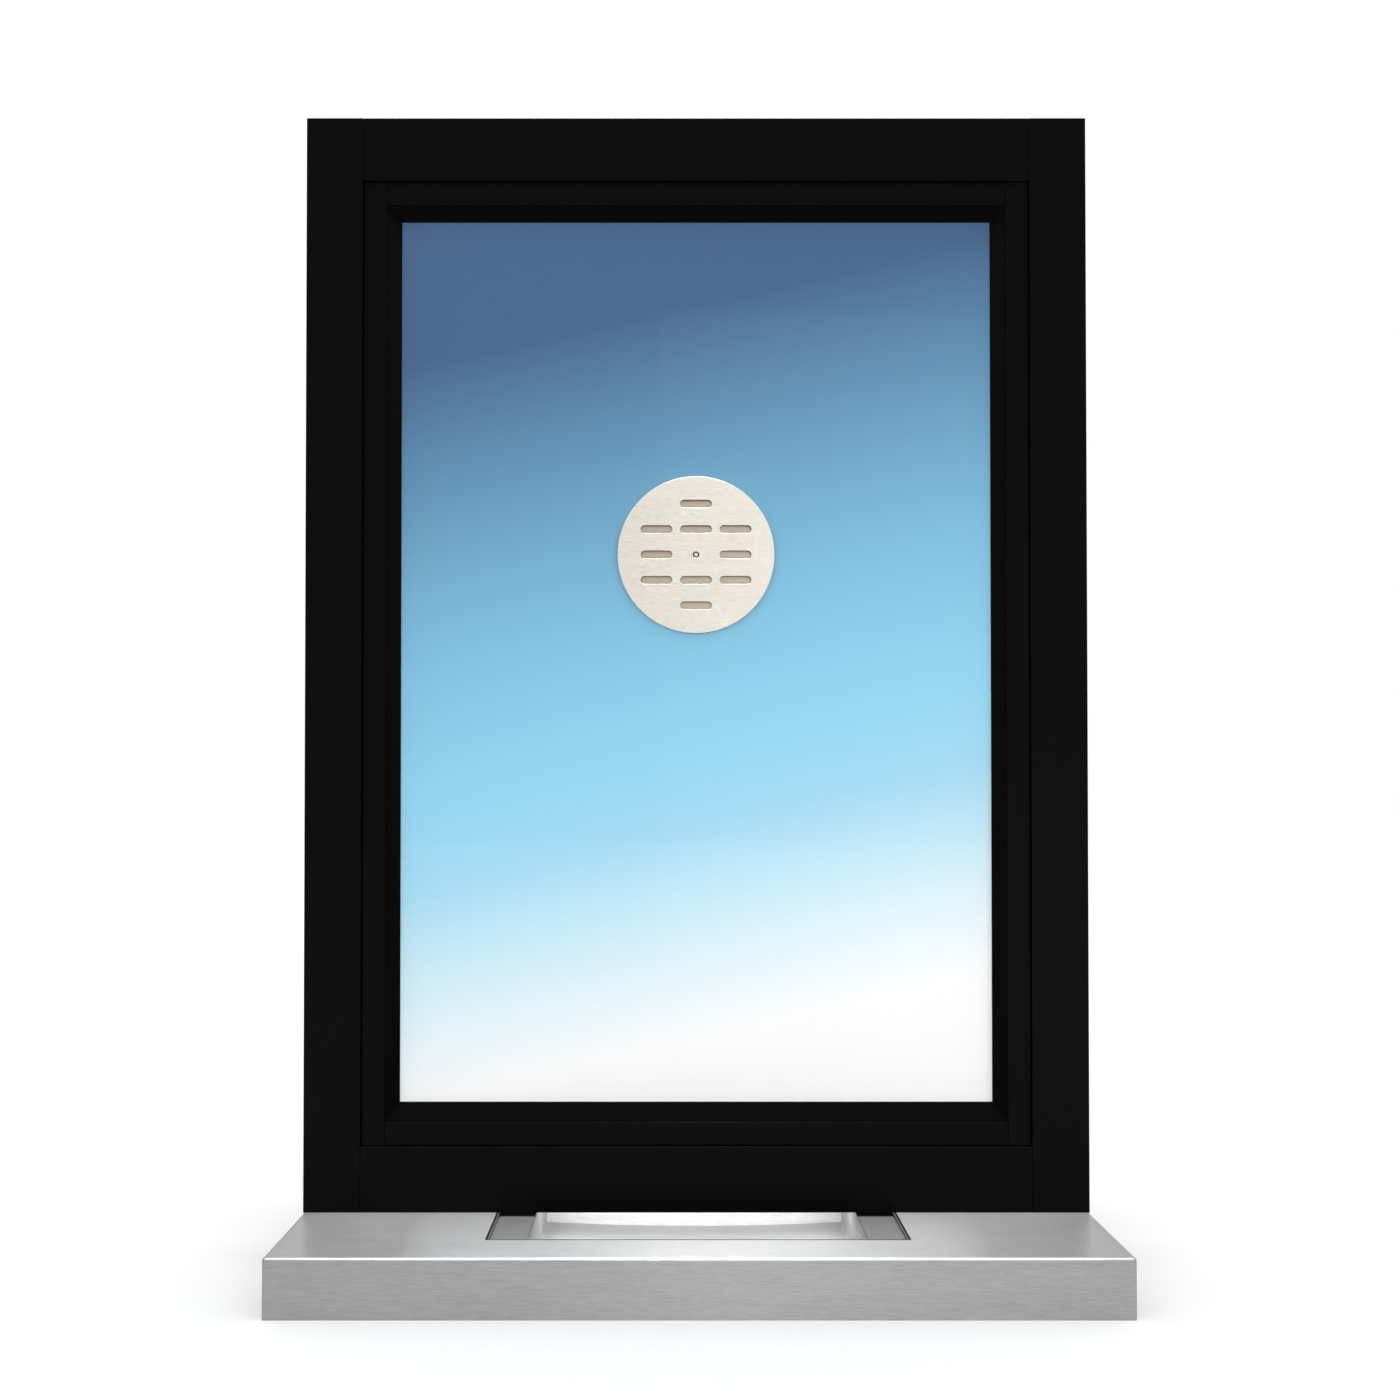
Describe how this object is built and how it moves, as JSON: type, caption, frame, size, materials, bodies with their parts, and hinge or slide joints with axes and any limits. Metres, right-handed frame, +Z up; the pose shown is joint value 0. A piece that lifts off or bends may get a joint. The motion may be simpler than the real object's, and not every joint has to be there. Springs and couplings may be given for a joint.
{
  "type": "ticket window",
  "caption": "Fixed ticket window: dark aluminium frame, tinted pane with a steel speak-through, on a brushed stainless counter shelf with a recessed deal tray.",
  "frame": {"origin": "under the middle of the shelf, level with the bottom of its lips", "axes": "+X along the counter, to the customer's right; +Y from the customer's side to the clerk's side; +Z up"},
  "size_m": [0.762, 0.457, 1.121],
  "materials": {
    "frame": "dark satin anodised",
    "steel": "brushed",
    "glass": "clear, blue tint",
    "gasket": "matte"
  },
  "bodies": {
    "root": {"left_jamb": "frame", "right_jamb": "frame", "head_rail": "frame", "sill_rail": "frame", "left_stop": "frame", "right_stop": "frame", "head_stop": "frame", "sill_stop": "frame", "left_outside_gasket": "gasket", "right_outside_gasket": "gasket", "head_outside_gasket": "gasket", "sill_outside_gasket": "gasket", "left_inside_gasket": "gasket", "right_inside_gasket": "gasket", "head_inside_gasket": "gasket", "sill_inside_gasket": "gasket", "left_setting_block": "gasket", "right_setting_block": "gasket", "speaker_grommet": "gasket", "glass_pane": "glass", "speaker_outer_plate": "steel", "speaker_inner_plate": "steel", "speaker_baffle": "steel", "speaker_spacer": "steel", "speaker_post": "steel", "speaker_nut": "steel", "counter_shelf": "steel", "deal_tray": "steel"}
  },
  "joints": []
}
